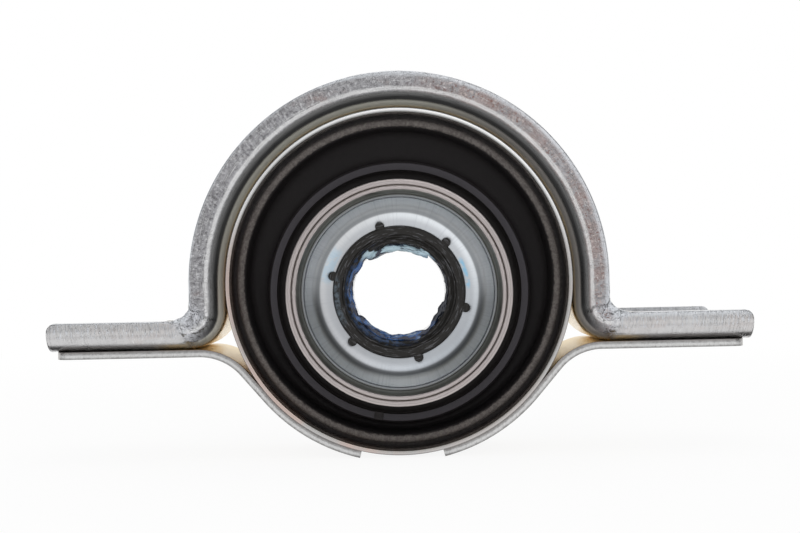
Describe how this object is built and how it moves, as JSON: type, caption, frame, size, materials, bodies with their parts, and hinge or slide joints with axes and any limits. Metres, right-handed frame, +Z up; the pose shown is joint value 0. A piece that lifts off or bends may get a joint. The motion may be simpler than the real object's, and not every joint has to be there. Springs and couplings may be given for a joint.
{
  "type": "driveshaft centre bearing",
  "caption": "Driveshaft centre bearing: a ball bearing hung in a rubber cushion inside a steel sleeve, held by a flanged arch bracket with bolt-down feet and two bent straps.",
  "frame": {"origin": "middle of the ball bearing, on the shaft's axis", "axes": "+Y along the shaft, away from the front; +X across the feet, to the right seen from the front; +Z up"},
  "size_m": [0.222, 0.05, 0.1213],
  "materials": {
    "bracket_sheet": "galvanised sheet with press marks",
    "strap_sheet": "galvanised sheet",
    "sleeve_steel": "drawn steel tube",
    "ring_steel": "plated steel",
    "zinc_sheet": "bright zinc plate",
    "cushion_rubber": "matt moulded rubber",
    "seal_rubber": "moulded seal rubber, greasy",
    "bearing_steel": "ground bearing steel",
    "cage_sheet": "pressed sheet"
  },
  "bodies": {
    "bracket": {"upper_bracket": "bracket_sheet", "lower_strap_left": "strap_sheet", "lower_strap_right": "strap_sheet", "outer_sleeve": "sleeve_steel", "rubber_cushion": "cushion_rubber"},
    "bearing_carrier": {"inner_sleeve": "sleeve_steel", "front_retaining_ring": "ring_steel", "rear_retaining_ring": "ring_steel", "front_seal_shield": "zinc_sheet", "rear_seal_shield": "zinc_sheet", "front_seal_lip": "seal_rubber", "rear_seal_lip": "seal_rubber", "bearing_outer_ring": "bearing_steel", "bearing_seal_front": "seal_rubber", "bearing_seal_rear": "seal_rubber"},
    "shaft_ring": {"bearing_inner_ring": "bearing_steel"},
    "ball_cage": {"cage_front": "cage_sheet", "cage_rear": "cage_sheet", "cage_rivets": "cage_sheet"},
    "rolling_ball_1": {"ball_1": "bearing_steel"},
    "rolling_ball_2": {"ball_2": "bearing_steel"},
    "rolling_ball_3": {"ball_3": "bearing_steel"},
    "rolling_ball_4": {"ball_4": "bearing_steel"},
    "rolling_ball_5": {"ball_5": "bearing_steel"},
    "rolling_ball_6": {"ball_6": "bearing_steel"},
    "rolling_ball_7": {"ball_7": "bearing_steel"},
    "rolling_ball_8": {"ball_8": "bearing_steel"},
    "rolling_ball_9": {"ball_9": "bearing_steel"}
  },
  "joints": [
    {"name": "cushion_flex", "type": "slide", "parent": "bracket", "child": "bearing_carrier", "axis": [0, 0, 1], "range_m": [-0.004, 0.004], "stiffness_N_per_m": 40000, "deforming": ["rubber_cushion"]},
    {"name": "shaft_spin", "type": "hinge", "parent": "bearing_carrier", "child": "shaft_ring", "pos_m": [0, 0, 0], "axis": [0, 1, 0], "continuous": true},
    {"name": "cage_spin", "type": "hinge", "parent": "bearing_carrier", "child": "ball_cage", "pos_m": [0, 0, 0], "axis": [0, 1, 0], "continuous": true},
    {"name": "ball_1_roll", "type": "hinge", "parent": "ball_cage", "child": "rolling_ball_1", "pos_m": [0.02425, 0, 0], "axis": [0, 1, 0], "continuous": true},
    {"name": "ball_2_roll", "type": "hinge", "parent": "ball_cage", "child": "rolling_ball_2", "pos_m": [0.01858, 0, 0.01559], "axis": [0, 1, 0], "continuous": true},
    {"name": "ball_3_roll", "type": "hinge", "parent": "ball_cage", "child": "rolling_ball_3", "pos_m": [0.00421, 0, 0.02388], "axis": [0, 1, 0], "continuous": true},
    {"name": "ball_4_roll", "type": "hinge", "parent": "ball_cage", "child": "rolling_ball_4", "pos_m": [-0.01213, 0, 0.021], "axis": [0, 1, 0], "continuous": true},
    {"name": "ball_5_roll", "type": "hinge", "parent": "ball_cage", "child": "rolling_ball_5", "pos_m": [-0.02279, 0, 0.00829], "axis": [0, 1, 0], "continuous": true},
    {"name": "ball_6_roll", "type": "hinge", "parent": "ball_cage", "child": "rolling_ball_6", "pos_m": [-0.02279, 0, -0.00829], "axis": [0, 1, 0], "continuous": true},
    {"name": "ball_7_roll", "type": "hinge", "parent": "ball_cage", "child": "rolling_ball_7", "pos_m": [-0.01213, 0, -0.021], "axis": [0, 1, 0], "continuous": true},
    {"name": "ball_8_roll", "type": "hinge", "parent": "ball_cage", "child": "rolling_ball_8", "pos_m": [0.00421, 0, -0.02388], "axis": [0, 1, 0], "continuous": true},
    {"name": "ball_9_roll", "type": "hinge", "parent": "ball_cage", "child": "rolling_ball_9", "pos_m": [0.01858, 0, -0.01559], "axis": [0, 1, 0], "continuous": true}
  ],
  "couplings": [
    {"joint": "cage_spin", "follows": "shaft_spin", "ratio": 0.39381},
    {"joint": "ball_1_roll", "follows": "shaft_spin", "ratio": -2.2482},
    {"joint": "ball_2_roll", "follows": "shaft_spin", "ratio": -2.2482},
    {"joint": "ball_3_roll", "follows": "shaft_spin", "ratio": -2.2482},
    {"joint": "ball_4_roll", "follows": "shaft_spin", "ratio": -2.2482},
    {"joint": "ball_5_roll", "follows": "shaft_spin", "ratio": -2.2482},
    {"joint": "ball_6_roll", "follows": "shaft_spin", "ratio": -2.2482},
    {"joint": "ball_7_roll", "follows": "shaft_spin", "ratio": -2.2482},
    {"joint": "ball_8_roll", "follows": "shaft_spin", "ratio": -2.2482},
    {"joint": "ball_9_roll", "follows": "shaft_spin", "ratio": -2.2482}
  ]
}
